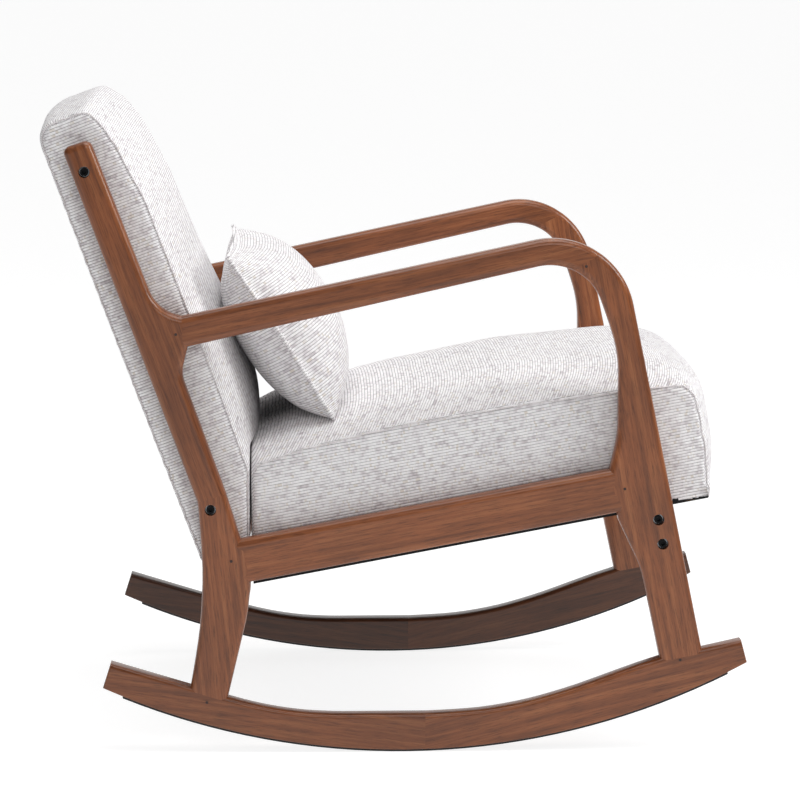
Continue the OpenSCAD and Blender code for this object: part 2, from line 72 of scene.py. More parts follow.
def add_node(tree, kind, values=None, links=None, **settings):
    """A node of that kind with its settings, socket values and links (socket name: output)."""
    made = tree.nodes.new(kind)
    for name, value in settings.items():
        setattr(made, name, value)
    for name, value in (values or {}).items():
        made.inputs[name].default_value = value
    for name, output in (links or {}).items():
        tree.links.new(output, made.inputs[name])
    return made


def new_material(name, **shader_values):
    """A material with one Principled shader. Returns the material, its tree and its shader."""
    made = bpy.data.materials.new(name)
    made.use_nodes = True
    tree = made.node_tree
    tree.nodes.clear()
    shader = add_node(tree, "ShaderNodeBsdfPrincipled",
                      {key.replace("_", " "): value for key, value in shader_values.items()})
    add_node(tree, "ShaderNodeOutputMaterial", links={"Surface": shader.outputs["BSDF"]})
    return made, tree, shader


def new_object(name, bm):
    """A scene object from a finished bmesh."""
    mesh = bpy.data.meshes.new(name)
    bm.to_mesh(mesh)
    bm.free()
    made = bpy.data.objects.new(name, mesh)
    bpy.context.scene.collection.objects.link(made)
    return made


def move_verts(bm, geom, shift):
    """Shifts the vertices among the geometry that an extrusion made."""
    bmesh.ops.translate(bm, vec=shift, verts=[v for v in geom if isinstance(v, bmesh.types.BMVert)])


near_x, half_span, bend_x, bend_radius, wall_height = -9.0, 9.0, 5.0, 4.0, 4.0
floor_bm = bmesh.new()
near_edge = floor_bm.edges.new([floor_bm.verts.new((near_x, y, 0.0)) for y in (-half_span, half_span)])
level = bmesh.ops.extrude_edge_only(floor_bm, edges=[near_edge])["geom"]
move_verts(floor_bm, level, (bend_x - near_x, 0, 0))
bmesh.ops.spin(floor_bm, geom=[e for e in level if isinstance(e, bmesh.types.BMEdge)],
               cent=(bend_x, 0, bend_radius), axis=(0, -1, 0), angle=math.radians(90), steps=24)
wall_foot = [e for e in floor_bm.edges if all(v.co.z > bend_radius - 0.01 for v in e.verts)]
wall = bmesh.ops.extrude_edge_only(floor_bm, edges=wall_foot)["geom"]
move_verts(floor_bm, wall, (0, 0, wall_height))
bmesh.ops.recalc_face_normals(floor_bm, faces=floor_bm.faces)
sweep = new_object("studio_sweep", floor_bm)
for face in sweep.data.polygons:
    face.use_smooth = True
paper, _, paper_shader = new_material("matt_backdrop_paper", Roughness=0.9)
paper_shader.inputs["Base Color"].default_value = linear("#a2a2a2")
paper_shader.inputs["Emission Color"].default_value = linear("#ffffff")
paper_shader.inputs["Emission Strength"].default_value = 0.83
sweep.data.materials.append(paper)


def soft_box(name, place, aim, size, watts):
    """A square area light at a place, turned to an aim point."""
    light = bpy.data.lights.new(name, "AREA")
    light.shape = "SQUARE"
    light.size = size
    light.energy = watts
    lamp = bpy.data.objects.new(name, light)
    lamp.location = place
    lamp.rotation_euler = (Vector(aim) - Vector(place)).to_track_quat("-Z", "Y").to_euler()
    bpy.context.scene.collection.objects.link(lamp)


soft_box("key", (-1.0, -3.0, 2.6), (0, -0.1, 0.45), 1.8, 76)
soft_box("side_fill", (-3.8, -0.6, 2.4), (0, 0, 0.45), 1.6, 22)
soft_box("top", (-0.2, -0.1, 3.0), (0, 0, 0.4), 2.2, 50)
world = bpy.data.worlds.new("studio")
bpy.context.scene.world = world
world.use_nodes = True
background = world.node_tree.nodes["Background"]
background.inputs["Color"].default_value = linear("#ffffff")
background.inputs["Strength"].default_value = 0.11
bpy.context.scene.view_settings.view_transform = "Standard"

# The camera looks across the chair from its right side, a little behind the middle and from above.
camera = bpy.data.objects.new("camera", bpy.data.cameras.new("camera"))
camera.data.sensor_width = 36.0
camera.data.lens = 158.6
camera.location = (-4.770, 0.152, 1.063)
yaw, pitch = math.radians(1.899), math.radians(7.753)
ahead = Vector((math.cos(yaw) * math.cos(pitch), -math.sin(yaw) * math.cos(pitch), -math.sin(pitch)))
camera.rotation_euler = ahead.to_track_quat("-Z", "Y").to_euler()
bpy.context.scene.collection.objects.link(camera)
bpy.context.scene.camera = camera

# ---- Side frames ----
# Rubberwood boards, stained walnut and lacquered satin, glued up edge to edge with dowels.
# A router rounds every edge of the finished frame in one pass, so the roundover runs on across
# the glue lines. Each board keeps its own grain direction and tone.

BOARDS = ["rear_leg", "back_post", "side_rail", "arm", "front_leg", "rocker_rear", "rocker_front"]
roundover = 0.0078
rocker_roundover = 0.0052
under_roundover = 0.0016
counterbore_depth = 0.0099


def face_loops(node):
    """The edge loops of a board's outer face, each as (y, z) points in order, longest first."""
    bm = bmesh.new()
    bm.from_mesh(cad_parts[node].data)
    bmesh.ops.remove_doubles(bm, verts=bm.verts, dist=2e-5)
    x_face = min(v.co.x for v in bm.verts)
    faces = {f for f in bm.faces if f.normal.x < -0.99 and abs(f.calc_center_median().x - x_face) < 1e-4}
    rim = [e for e in bm.edges if sum(f in faces for f in e.link_faces) == 1]
    next_points = {}
    for edge in rim:
        for vert, other in (edge.verts, reversed(edge.verts)):
            next_points.setdefault(vert, []).append(other)
    loops, seen = [], set()
    for start in next_points:
        if start in seen:
            continue
        loop, here = [start], start
        seen.add(start)
        while True:
            ahead_verts = [v for v in next_points[here] if v not in seen]
            if not ahead_verts:
                break
            here = ahead_verts[0]
            seen.add(here)
            loop.append(here)
        loops.append([Vector((v.co.y, v.co.z)) for v in loop])
    bm.free()
    loops.sort(key=lambda loop: -loop_length(loop))
    return loops


def loop_length(loop):
    """The length of a closed loop of points."""
    return sum((b - a).length for a, b in zip(loop, loop[1:] + loop[:1]))


def eased(loop):
    """The loop with each run of gently turning edges rounded, three new points to an edge.

    A turn under 0.004 radians counts as straight, and one over 0.36 as a corner that stays.
    """
    straight, corner = 0.004, 0.36
    shortest, longest = 0.003, 0.06
    for _ in range(2):
        count = len(loop)
        runs = [loop[(i + 1) % count] - loop[i] for i in range(count)]
        turns = [abs(runs[i - 1].angle_signed(runs[i])) for i in range(count)]
        tangents = []
        for i in range(count):
            before, after = runs[i - 1], runs[i]
            if before.length > 3 * after.length:
                tangents.append(before.normalized())
            elif after.length > 3 * before.length:
                tangents.append(after.normalized())
            else:
                weighted = before.normalized() / before.length + after.normalized() / after.length
                tangents.append(weighted.normalized())
        out = []
        for i in range(count):
            after = (i + 1) % count
            out.append(loop[i])
            less, more = min(turns[i], turns[after]), max(turns[i], turns[after])
            if straight < less and more < corner and runs[i].length > shortest:
                swell = (tangents[i] - tangents[after]) * runs[i].length / 8
                out.append((loop[i] + loop[after]) / 2 + swell)
            elif straight < less < corner and shortest < runs[i].length < longest:
                gentle = i if turns[i] < turns[after] else after
                chord = runs[i].normalized()
                other = chord * 2 * chord.dot(tangents[gentle]) - tangents[gentle]
                first, last = (tangents[i], other) if gentle == i else (other, tangents[after])
                out.append((loop[i] + loop[after]) / 2 + (first - last) * runs[i].length / 8)
        loop = out
    return loop


def near_segment(point, a, b):
    """How far a point lies from segment a-b, and how far along it, from 0 to 1."""
    run = b - a
    share = max(0.0, min(1.0, (point - a).dot(run) / run.length_squared))
    return (a + run * share - point).length, share


def share_corners(loops):
    """Adds to each loop the corners of the others that lie on its edges."""
    on_edge, off_corner = 4e-4, 6e-4
    shared = {}
    for name, loop in loops.items():
        others = [p for other, points in loops.items() if other != name for p in points]
        out = []
        for a, b in zip(loop, loop[1:] + loop[:1]):
            out.append(a)
            hits = [(near_segment(p, a, b)[1], p) for p in others
                    if near_segment(p, a, b)[0] < on_edge
                    and min((p - a).length, (p - b).length) > off_corner]
            out += [p for share, p in sorted(hits, key=lambda hit: hit[0])]
        shared[name] = out
    return shared


def rounded_side():
    """The right side frame as one shell with its edges rounded. Each face keeps its board's number."""
    low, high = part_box("right_arm")
    loops = share_corners({board: eased(face_loops("right_" + board)[0]) for board in BOARDS})
    bm = bmesh.new()
    for number, board in enumerate(BOARDS):
        board_face = bm.faces.new([bm.verts.new((low[0], p.x, p.y)) for p in loops[board]])
        board_face.material_index = number
    bmesh.ops.remove_doubles(bm, verts=bm.verts, dist=5e-4)
    bmesh.ops.recalc_face_normals(bm, faces=bm.faces)
    back = bmesh.ops.extrude_face_region(bm, geom=list(bm.faces), use_keep_orig=True)
    move_verts(bm, back["geom"], (high[0] - low[0], 0, 0))
    bmesh.ops.recalc_face_normals(bm, faces=bm.faces)
    weight = bm.edges.layers.float.new("bevel_weight_edge")
    rockers = [BOARDS.index("rocker_rear"), BOARDS.index("rocker_front")]
    for edge in bm.edges:
        walls = [f for f in edge.link_faces if abs(f.normal.x) < 0.1]
        flats = [f for f in edge.link_faces if abs(f.normal.x) > 0.9]
        if len(walls) != 1 or len(flats) != 1:
            continue
        walls[0].material_index = flats[0].material_index
        edge[weight] = 1.0
        if flats[0].material_index in rockers:
            edge[weight] = (rocker_roundover if walls[0].normal.z > 0.5 else under_roundover) / roundover
    shell = new_object("side_shell", bm)
    for board in BOARDS:
        shell.data.materials.append(None)
    bevel = shell.modifiers.new("roundover", "BEVEL")
    bevel.width = roundover
    bevel.segments = 4
    bevel.profile = 0.5
    bevel.material = -1
    bevel.limit_method = "WEIGHT"
    bevel.use_clamp_overlap = False
    bevel.loop_slide = False
    bm = bmesh.new()
    bm.from_object(shell, bpy.context.evaluated_depsgraph_get())
    bpy.data.objects.remove(shell)
    return bm


def board_from(shell, number, holes, x_face):
    """One board of the shell, closed at its glued ends, planed flat and counterbored for its bolts."""
    part = shell.copy()
    bmesh.ops.delete(part, geom=[f for f in part.faces if f.material_index != number], context="FACES")
    bmesh.ops.holes_fill(part, edges=[e for e in part.edges if e.is_boundary], sides=0)
    bmesh.ops.recalc_face_normals(part, faces=part.faces)
    flats = [f for f in part.faces if abs(f.normal.x) > 0.999 and f.calc_area() > 1e-3]
    bmesh.ops.inset_region(part, faces=flats, thickness=0.0006, use_even_offset=True, use_boundary=True)
    if holes:
        outer = max((f for f in part.faces if f.normal.x < -0.999), key=lambda f: f.calc_area())
        rim = list(outer.edges)
        bmesh.ops.delete(part, geom=[outer], context="FACES_ONLY")
        ring_edges = []
        for centre, radius in holes:
            place = Matrix.Translation((x_face, centre.x, centre.y)) @ Matrix.Rotation(math.pi / 2, 4, "Y")
            ring = bmesh.ops.create_circle(part, cap_ends=False, radius=radius, segments=36, matrix=place)
            ring_edges.append(list({e for v in ring["verts"] for e in v.link_edges}))
        bmesh.ops.triangle_fill(part, use_beauty=True, use_dissolve=False, normal=(-1, 0, 0),
                                edges=rim + [e for ring in ring_edges for e in ring])
        for ring in ring_edges:
            wall = bmesh.ops.extrude_edge_only(part, edges=ring)["geom"]
            move_verts(part, wall, (counterbore_depth, 0, 0))
            bmesh.ops.contextual_create(part, geom=[e for e in wall if isinstance(e, bmesh.types.BMEdge)])
        bmesh.ops.recalc_face_normals(part, faces=part.faces)
    for face in part.faces:
        face.smooth = True
        face.material_index = 0
    for edge in part.edges:
        if len(edge.link_faces) == 2 and edge.calc_face_angle(0) > math.radians(38):
            edge.smooth = False
    return part


def for_side(part, side):
    """A part made for the right side, or its mirror image for the left."""
    copy = part.copy()
    if side == "left":
        bmesh.ops.scale(copy, vec=(-1, 1, 1), verts=copy.verts)
        bmesh.ops.reverse_faces(copy, faces=copy.faces)
    return copy


def stained_wood(name, grain_turn, tone, seed):
    """Walnut-stained rubberwood under satin lacquer. The turn brings its grain onto the Y axis."""
    made, tree, shader = new_material(name, Roughness=0.5, Coat_Weight=0.6, Coat_Roughness=0.2,
                                      Coat_IOR=1.55)
    shader.inputs["Specular IOR Level"].default_value = 0.15
    spot = add_node(tree, "ShaderNodeTexCoord")
    turned = add_node(tree, "ShaderNodeMapping",
                      {"Rotation": grain_turn, "Location": (seed * 0.37, seed * 1.3, seed * 0.7)},
                      {"Vector": spot.outputs["Object"]}, vector_type="POINT")
    # Figure about 6 mm across the grain, drawn out thirty times along it.
    long_grain = add_node(tree, "ShaderNodeMapping", {"Scale": (110, 3.5, 110)},
                          {"Vector": turned.outputs[0]})
    figure = add_node(tree, "ShaderNodeTexNoise",
                      {"Scale": 1.6, "Detail": 5, "Roughness": 0.55, "Distortion": 0.15},
                      {"Vector": long_grain.outputs[0]})
    # Pores about 0.6 mm across and 15 mm long.
    pore_grain = add_node(tree, "ShaderNodeMapping", {"Scale": (900, 36, 900)}, {"Vector": turned.outputs[0]})
    pores = add_node(tree, "ShaderNodeTexNoise", {"Scale": 1.0, "Detail": 3, "Roughness": 0.7},
                     {"Vector": pore_grain.outputs[0]})
    cloud = add_node(tree, "ShaderNodeTexNoise", {"Scale": 7.0, "Detail": 2}, {"Vector": turned.outputs[0]})
    colours = add_node(tree, "ShaderNodeValToRGB", links={"Fac": figure.outputs["Fac"]})
    stops = colours.color_ramp.elements
    stops[0].position, stops[1].position = 0.28, 0.72
    stops.new(0.5)
    for stop, colour in zip(stops, ("#683a20", "#854b29", "#9c6039")):
        stop.color = [c * tone for c in linear(colour)[:3]] + [1]
    pore_mask = add_node(tree, "ShaderNodeMapRange",
                         {"From Min": 0.30, "From Max": 0.50, "To Min": 0.42, "To Max": 1.0},
                         {"Value": pores.outputs["Fac"]})
    cloud_mask = add_node(tree, "ShaderNodeMapRange",
                          {"From Min": 0.3, "From Max": 0.7, "To Min": 0.82, "To Max": 1.14},
                          {"Value": cloud.outputs["Fac"]})
    shade = add_node(tree, "ShaderNodeMath", links={0: pore_mask.outputs[0], 1: cloud_mask.outputs[0]},
                     operation="MULTIPLY")
    stained = add_node(tree, "ShaderNodeVectorMath", links={0: colours.outputs["Color"], 1: shade.outputs[0]},
                       operation="MULTIPLY")
    tree.links.new(stained.outputs[0], shader.inputs["Base Color"])
    grain_bump = add_node(tree, "ShaderNodeBump", {"Strength": 0.25, "Distance": 0.0002},
                          {"Height": pores.outputs["Fac"]})
    tree.links.new(grain_bump.outputs[0], shader.inputs["Normal"])
    return made


# Grain angle of each board, in degrees up from level towards the front, and its tone.
GRAIN = {"rear_leg": (96, 1.0), "back_post": (110, 0.93), "side_rail": (10.5, 1.05), "arm": (12, 0.97),
         "front_leg": (101, 1.04), "rocker_rear": (-8, 0.86), "rocker_front": (14, 1.0)}
# The left rockers are painted darker: painted shade for the shadow the seat casts on them.
left_rocker_painted_shade = {"rocker_rear": 0.34, "rocker_front": 0.36}
shell = rounded_side()
for number, board in enumerate(BOARDS):
    bores = []
    for hole in face_loops("right_" + board)[1:]:
        centre = sum(hole, Vector((0, 0))) / len(hole)
        bores.append((centre, (hole[0] - centre).length))
    bolt_bores = [bore for bore in bores if bore[1] > 0.004]
    part = board_from(shell, number, bolt_bores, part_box("right_" + board)[0][0])
    for side in ("right", "left"):
        piece = new_object(f"{side}_{board}_rounded", for_side(part, side))
        angle, tone = GRAIN[board]
        if side == "left":
            # Painted shade: the left rockers' colour is darkened here.
            tone *= left_rocker_painted_shade.get(board, 1.0)
        piece.data.materials.append(stained_wood(f"stained_rubberwood_{side}_{board}",
                                                 (math.radians(angle), 0, 0), tone,
                                                 number + (0 if side == "right" else 9)))
        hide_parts(f"{side}_{board}")
        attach(piece, "chair")
    part.free()
shell.free()

# Filler dabs over the nails that held each glue-up while it set.
filler, filler_tree, filler_shader = new_material("dark_wood_filler", Roughness=0.6)
grit = add_node(filler_tree, "ShaderNodeTexNoise", {"Scale": 900.0, "Detail": 3})
tint = add_node(filler_tree, "ShaderNodeValToRGB", links={"Fac": grit.outputs["Fac"]})
tint.color_ramp.elements[0].color = linear("#24140d")
tint.color_ramp.elements[1].color = linear("#41281c")
filler_tree.links.new(tint.outputs["Color"], filler_shader.inputs["Base Color"])
# Each dab is 3.8 mm across and stands a quarter of a millimetre proud. The places are forward and up.
nail_spots = [(-0.289, 0.543), (-0.2207, 0.251), (0.283, 0.342), (0.2316, 0.628), (0.3564, 0.1185),
              (-0.253, 0.067)]
outer_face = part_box("right_arm")[0][0]
dabs = bmesh.new()
for forward, up in nail_spots:
    place = Matrix.Translation((outer_face, -forward, up)) @ Matrix.Rotation(math.pi / 2, 4, "Y")
    dab = bmesh.ops.create_uvsphere(dabs, u_segments=16, v_segments=8, radius=0.0019, matrix=place)
    bmesh.ops.scale(dabs, vec=(0.12, 1, 1), verts=dab["verts"],
                    space=Matrix.Translation((-outer_face, 0, 0)))
for side in ("right", "left"):
    piece = new_object(f"{side}_filler_dabs", for_side(dabs, side))
    piece.data.materials.append(filler)
    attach(piece, "chair")
dabs.free()

# ---- Stretcher, rocker strips, bolts and hidden parts ----
# The stretcher under the seat's front is the same stained wood. The strips are black rubber,
# nailed under the rockers. The bolts are black oxide steel; the hidden metal is zinc plated.


def finish_node(material, *names):
    """Gives pieces that keep their own mesh a finish."""
    for name in names:
        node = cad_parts[name]
        if not node.data.materials:
            node.data.materials.append(material)
        for slot in node.material_slots:
            slot.material = material


def two_tones(tree, shader, pattern, dark, light, half_width):
    """Colours a shader from dark to light where a pattern passes its middle."""
    tint = add_node(tree, "ShaderNodeValToRGB", links={"Fac": pattern.outputs["Fac"]})
    first, last = tint.color_ramp.elements
    first.position, last.position = 0.5 - half_width, 0.5 + half_width
    first.color, last.color = linear(dark), linear(light)
    tree.links.new(tint.outputs["Color"], shader.inputs["Base Color"])


def speckled(name, dark, light, scale, bump, **shader_values):
    """A material whose colour drifts between two tones, with a fine bump at the same scale."""
    made, tree, shader = new_material(name, **shader_values)
    spot = add_node(tree, "ShaderNodeTexCoord")
    grit = add_node(tree, "ShaderNodeTexNoise", {"Scale": scale, "Detail": 4},
                    {"Vector": spot.outputs["Object"]})
    two_tones(tree, shader, grit, dark, light, 0.2)
    relief = add_node(tree, "ShaderNodeBump", {"Strength": bump, "Distance": 0.0004},
                      {"Height": grit.outputs["Fac"]})
    tree.links.new(relief.outputs["Normal"], shader.inputs["Normal"])
    return made


def sawn_wood(name, dark, light, grain_turn):
    """Unfinished softwood or beech. Its lines, some 3 mm apart, run along Y after the turn."""
    made, tree, shader = new_material(name, Roughness=0.7)
    spot = add_node(tree, "ShaderNodeTexCoord")
    turned = add_node(tree, "ShaderNodeMapping", {"Rotation": grain_turn}, {"Vector": spot.outputs["Object"]})
    drawn = add_node(tree, "ShaderNodeMapping", {"Scale": (300, 14, 300)}, {"Vector": turned.outputs[0]})
    lines = add_node(tree, "ShaderNodeTexNoise", {"Scale": 1.0, "Detail": 3}, {"Vector": drawn.outputs[0]})
    two_tones(tree, shader, lines, dark, light, 0.15)
    return made


across_chair = (0, 0, math.radians(90))
along_rails = (math.radians(10.5), 0, 0)
up_stiles = (math.radians(110.4), 0, 0)
finish_node(stained_wood("stained_rubberwood_stretcher", across_chair, 0.92, 5), "front_stretcher")
finish_node(speckled("black_rubber", "#141414", "#232222", 700, 0.4, Roughness=0.75),
            "right_rocker_strip", "left_rocker_strip")
finish_node(speckled("black_oxide_steel", "#0d0d0e", "#1e1e20", 1200, 0.1, Metallic=0.85, Roughness=0.38),
            "stretcher_bolts", "back_bolts")
finish_node(speckled("zinc_plated_steel", "#8d9196", "#b3b7ba", 900, 0.1, Metallic=1.0, Roughness=0.34),
            "bolt_washers", "barrel_nuts", "seat_screws", "seat_side_screws",
            "right_frame_brads", "left_frame_brads")
finish_node(sawn_wood("sawn_pine_across", "#b98d5c", "#dfbe8e", across_chair),
            "seat_front_rail", "seat_nose_rail", "seat_rear_rail", "seat_corner_blocks",
            "back_top_rail", "back_bottom_rail")
finish_node(sawn_wood("sawn_pine_along", "#b98d5c", "#dfbe8e", along_rails),
            "seat_right_rail", "seat_left_rail")
finish_node(sawn_wood("sawn_pine_upright", "#b98d5c", "#dfbe8e", up_stiles),
            "back_right_stile", "back_left_stile")
finish_node(sawn_wood("fluted_beech", "#c08a5c", "#deb184", along_rails),
            "right_frame_dowels", "left_frame_dowels")
dust_cloth = speckled("black_spunbond_cloth", "#0c0c0d", "#1b1b1d", 1500, 0.6, Roughness=0.95)
finish_node(dust_cloth, "seat_dust_cover")
finish_node(speckled("woven_elastic_webbing", "#3a3a3c", "#6a6460", 800, 0.7, Roughness=0.9),
            "seat_cross_webbing", "seat_long_webbing", "back_webbing")

# ---- Seat ----
# A boxed pad of foam over webbing, in ribbed chenille. One width of cloth wraps the rear, top and
# front, with its ribs across the chair. The side panels are sewn to it with a plain seam.


class Slope:
    """Coordinates on a leaning plane: forward along it and out of it, from an origin in the side view."""

    def __init__(self, forward, up, degrees):
        self.origin = Vector((0, -forward, up))
        lean = math.radians(degrees)
        self.along = Vector((0, -math.cos(lean), math.sin(lean)))
        self.out = Vector((0, math.sin(lean), math.cos(lean)))

    def place(self, a, b, x=0.0):
        """The point that lies a along the slope and b out of it."""
        return self.origin + self.along * a + self.out * b + Vector((x, 0, 0))

    def read(self, co):
        """How far along the slope a point is, and how far out of it."""
        return (co - self.origin).dot(self.along), (co - self.origin).dot(self.out)


def smooth(low, high, value):
    """0 below low, 1 above high, and an eased rise between them."""
    share = max(0.0, min(1.0, (value - low) / (high - low)))
    return share * share * (3 - 2 * share)


def ribbed_cloth(name, across, along, seed, run_name=None):
    """Ribbed chenille: cream ribs 3.7 mm apart, grey and tan yarn flecks, and painted shade in the valleys
    between the ribs.

    The ribs are counted along the across direction, or by a run of cloth kept on the points.
    """
    made, tree, shader = new_material(name, Roughness=0.92, Sheen_Weight=0.25, Sheen_Roughness=0.5)
    shader.inputs["Specular IOR Level"].default_value = 0.2
    spot = add_node(tree, "ShaderNodeTexCoord")
    per_rib = 1 / 0.0037
    if run_name:
        laid = add_node(tree, "ShaderNodeAttribute", attribute_name=run_name)
        rib = add_node(tree, "ShaderNodeMath", {1: per_rib}, {0: laid.outputs["Fac"]}, operation="MULTIPLY")
    else:
        rib = add_node(tree, "ShaderNodeVectorMath", {1: [c * per_rib for c in across]},
                       {0: spot.outputs["Object"]}, operation="DOT_PRODUCT")
    run = add_node(tree, "ShaderNodeVectorMath", {1: [c * per_rib for c in along]},
                   {0: spot.outputs["Object"]}, operation="DOT_PRODUCT")
    # A slow wander keeps the ribs from looking ruled.
    wander = add_node(tree, "ShaderNodeTexNoise", {"Scale": 26.0, "Detail": 1},
                      {"Vector": spot.outputs["Object"]})
    drift = add_node(tree, "ShaderNodeMath", {1: 0.25}, {0: wander.outputs["Fac"]}, operation="MULTIPLY")
    rib_drift = add_node(tree, "ShaderNodeMath", links={0: rib.outputs["Value"], 1: drift.outputs[0]},
                         operation="ADD")
    rib_number = add_node(tree, "ShaderNodeMath", links={0: rib_drift.outputs[0]}, operation="FLOOR")
    rib_share = add_node(tree, "ShaderNodeMath", links={0: rib_drift.outputs[0]}, operation="FRACT")
    centred = add_node(tree, "ShaderNodeMath", {1: 0.5}, {0: rib_share.outputs[0]}, operation="SUBTRACT")
    squared = add_node(tree, "ShaderNodeMath", links={0: centred.outputs[0], 1: centred.outputs[0]},
                       operation="MULTIPLY")
    crown = add_node(tree, "ShaderNodeMapRange",
                     {"From Min": 0.0, "From Max": 0.25, "To Min": 1.0, "To Max": 0.0},
                     {"Value": squared.outputs[0]})
    # Yarn flecks: each rib has its own run of light and dark stitches about 9 mm long.
    drawn = add_node(tree, "ShaderNodeMath", {1: 0.26}, {0: run.outputs["Value"]}, operation="MULTIPLY")
    own_run = add_node(tree, "ShaderNodeMath", {1: 3.77}, {0: rib_number.outputs[0]}, operation="MULTIPLY")
    stitch = add_node(tree, "ShaderNodeCombineXYZ", {"Z": seed * 3.1},
                      {"X": own_run.outputs[0], "Y": drawn.outputs[0]})
    flecks = add_node(tree, "ShaderNodeTexNoise", {"Scale": 1.15, "Detail": 2, "Roughness": 0.75},
                      {"Vector": stitch.outputs[0]})
    yarn = add_node(tree, "ShaderNodeValToRGB", links={"Fac": flecks.outputs["Fac"]})
    stops = yarn.color_ramp.elements
    stops[0].position, stops[0].color = 0.24, linear("#bdb5b9")
    stops[1].position, stops[1].color = 0.80, linear("#fbfafb")
    for position, colour in ((0.36, "#d8d2d5"), (0.46, "#eeebed"), (0.56, "#faf9fa"), (0.70, "#f1eeed")):
        stops.new(position).color = linear(colour)
    tan_noise = add_node(tree, "ShaderNodeTexNoise", {"Scale": 2.3, "Detail": 1},
                         {"Vector": stitch.outputs[0]})
    tan_mask = add_node(tree, "ShaderNodeMapRange",
                        {"From Min": 0.62, "From Max": 0.70, "To Min": 0.0, "To Max": 0.38},
                        {"Value": tan_noise.outputs["Fac"]})
    with_tan = add_node(tree, "ShaderNodeMix", {7: linear("#bda98f")},
                        {0: tan_mask.outputs[0], 6: yarn.outputs["Color"]}, data_type="RGBA")
    # Painted shade: the colour falls to 0.27 of itself at the bottom of each valley between the ribs.
    valley_painted_shade = add_node(tree, "ShaderNodeMapRange",
                      {"From Min": 0.0, "From Max": 0.58, "To Min": 0.27, "To Max": 1.0},
                      {"Value": crown.outputs[0]})
    shaded = add_node(tree, "ShaderNodeVectorMath", links={0: with_tan.outputs[2], 1: valley_painted_shade.outputs[0]},
                      operation="MULTIPLY")
    tree.links.new(shaded.outputs[0], shader.inputs["Base Color"])
    height = add_node(tree, "ShaderNodeMath", {1: 0.35}, {0: flecks.outputs["Fac"], 2: crown.outputs[0]},
                      operation="MULTIPLY_ADD")
    relief = add_node(tree, "ShaderNodeBump", {"Strength": 0.55, "Distance": 0.0009},
                      {"Height": height.outputs[0]})
    tree.links.new(relief.outputs["Normal"], shader.inputs["Normal"])
    return made


def boxed_pad(name, outline, slope, half_width):
    """A closed pad: the side outline drawn across the chair and remeshed evenly."""
    bm = bmesh.new()
    side_face = bm.faces.new([bm.verts.new(slope.place(a, b, -half_width)) for a, b in outline])
    across = bmesh.ops.extrude_face_region(bm, geom=[side_face])["geom"]
    move_verts(bm, across, (2 * half_width, 0, 0))
    bmesh.ops.recalc_face_normals(bm, faces=bm.faces)
    pad = new_object(name, bm)
    remesh = pad.modifiers.new("remesh", "REMESH")
    remesh.mode = "VOXEL"
    remesh.voxel_size = 0.0065
    remesh.use_smooth_shade = True
    apply_all(pad)
    return pad


def apply_all(piece):
    """Keeps what the modifiers make, and removes them."""
    done = bpy.data.meshes.new_from_object(piece.evaluated_get(bpy.context.evaluated_depsgraph_get()))
    piece.modifiers.clear()
    old = piece.data
    piece.data = done
    bpy.data.meshes.remove(old)


def reshape(piece, move):
    """Moves every point of a piece to where the function puts it."""
    for vert in piece.data.vertices:
        vert.co = move(vert.co.copy())
    piece.data.update()


def puff(piece, pressure, cap_at, hold):
    """Swells a pad as stuffed cloth does, never inwards nor past its cap, and holds it in its space."""
    last_frame = 20
    scene = bpy.context.scene
    before = [(v.co.copy(), v.normal.copy()) for v in piece.data.vertices]
    cloth = piece.modifiers.new("cloth", "CLOTH")
    cloth.settings.quality = 4
    cloth.settings.mass = 0.3
    cloth.settings.tension_stiffness = 12
    cloth.settings.compression_stiffness = 6
    cloth.settings.bending_stiffness = 0.6
    cloth.settings.use_pressure = True
    cloth.settings.uniform_pressure_force = pressure
    cloth.settings.effector_weights.gravity = 0
    cloth.point_cache.frame_start = 1
    cloth.point_cache.frame_end = last_frame
    for step in range(1, last_frame + 1):
        scene.frame_set(step)
    swollen = piece.evaluated_get(bpy.context.evaluated_depsgraph_get()).data
    after = [v.co.copy() for v in swollen.vertices]
    piece.modifiers.clear()
    scene.frame_set(1)
    for vert, (old, outward), new in zip(piece.data.vertices, before, after):
        shift, cap = new - old, cap_at(old)
        shift -= outward * min(0.0, shift.dot(outward))
        vert.co = old + (shift * (cap / shift.length) if shift.length > cap else shift)
    subdivide = piece.modifiers.new("subdivide", "SUBSURF")
    subdivide.levels = subdivide.render_levels = 1
    apply_all(piece)
    reshape(piece, hold)


def edge_seams(pad, slope, outline, half_width):
    """The seam line along each side's outline, laid onto the pad."""
    tree = BVHTree.FromObject(pad, bpy.context.evaluated_depsgraph_get())
    lines = []
    for x_edge in (-half_width, half_width):
        points = resampled([slope.place(a, b, x_edge) for a, b in outline], 0.004, False)
        lines.append([tree.find_nearest(point)[0] for point in points])
    return lines


def seam_cord(name, points, radius, closed):
    """A thin round bead along a line of points, as a mesh."""
    data = bpy.data.curves.new(name, "CURVE")
    data.dimensions = "3D"
    data.bevel_depth = radius
    data.bevel_resolution = 2
    data.use_fill_caps = True
    line = data.splines.new("POLY")
    line.points.add(len(points) - 1)
    line.use_cyclic_u = closed
    for point, co in zip(line.points, points):
        point.co = (*co, 1)
    drawn = bpy.data.objects.new(name + "_line", data)
    bpy.context.scene.collection.objects.link(drawn)
    mesh = bpy.data.meshes.new_from_object(drawn.evaluated_get(bpy.context.evaluated_depsgraph_get()))
    bpy.data.objects.remove(drawn)
    made = bpy.data.objects.new(name, mesh)
    bpy.context.scene.collection.objects.link(made)
    for face in mesh.polygons:
        face.use_smooth = True
    return made


